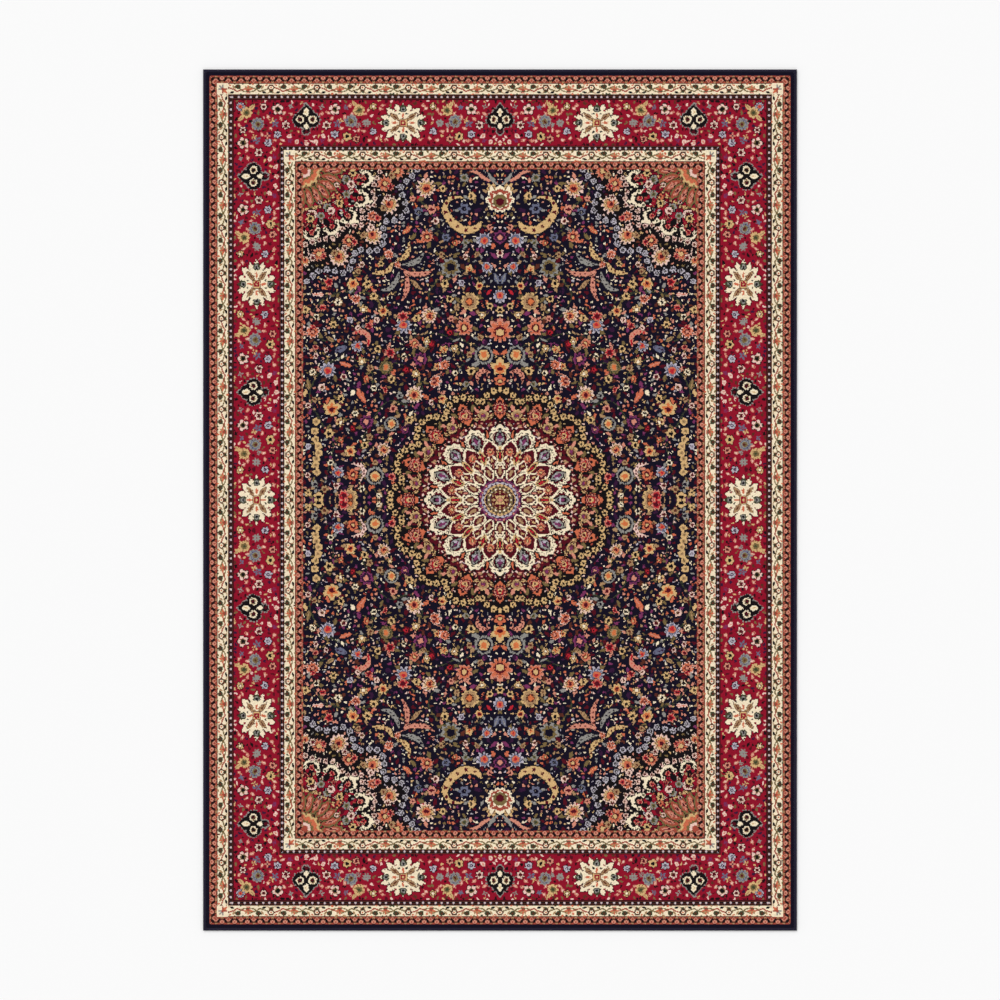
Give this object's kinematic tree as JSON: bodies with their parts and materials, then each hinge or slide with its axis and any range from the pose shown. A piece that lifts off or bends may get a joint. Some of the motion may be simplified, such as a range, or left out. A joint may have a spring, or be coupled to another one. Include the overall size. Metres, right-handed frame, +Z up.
{
  "type": "area rug",
  "caption": "Rectangular machine-woven area rug with a central medallion, corner spandrels, floral borders, cut pile and overcast edges.",
  "frame": {"origin": "on the floor, under the centre of the rug", "axes": "+X across the rug, +Y along its length to the head end, +Z up out of the pile"},
  "size_m": [2, 2.9, 0.011],
  "materials": {
    "jute_weave": "undyed jute and cotton ground weave, matt, with a fine cross rib",
    "cotton_cord": "undyed twisted cotton filler cord",
    "serging_yarn": "near-black navy overcasting yarn, closely wrapped",
    "navy_pile": "plain near-black navy cut pile",
    "rust_pile": "rust cut pile with salmon zigzag",
    "cream_pile": "cream cut pile with a small flower vine",
    "bead_pile": "black and plum cut pile with a row of pale beads",
    "crimson_pile": "crimson cut pile with large palmettes",
    "medallion_pile": "many-coloured cut pile, sixteen-lobed medallion",
    "spandrel_pile": "many-coloured cut pile, quarter rosette and garlands",
    "field_pile": "navy-black cut pile densely filled with flowers"
  },
  "bodies": {
    "root": {"ground_weave": "jute_weave", "edge_cord_left": "cotton_cord", "edge_cord_right": "cotton_cord", "edge_cord_head": "cotton_cord", "edge_cord_foot": "cotton_cord", "serging_left": "serging_yarn", "serging_right": "serging_yarn", "serging_head": "serging_yarn", "serging_foot": "serging_yarn", "pile_edge_band": "navy_pile", "pile_outer_zigzag": "rust_pile", "pile_outer_guard": "cream_pile", "pile_outer_beads": "bead_pile", "pile_border_left": "crimson_pile", "pile_border_right": "crimson_pile", "pile_border_head": "crimson_pile", "pile_border_foot": "crimson_pile", "pile_inner_beads": "bead_pile", "pile_inner_guard": "cream_pile", "pile_inner_zigzag": "rust_pile", "pile_medallion": "medallion_pile", "pile_spandrel_head_right": "spandrel_pile", "pile_spandrel_head_left": "spandrel_pile", "pile_spandrel_foot_left": "spandrel_pile", "pile_spandrel_foot_right": "spandrel_pile", "pile_field_head_right": "field_pile", "pile_field_head_left": "field_pile", "pile_field_foot_left": "field_pile", "pile_field_foot_right": "field_pile"}
  },
  "joints": []
}
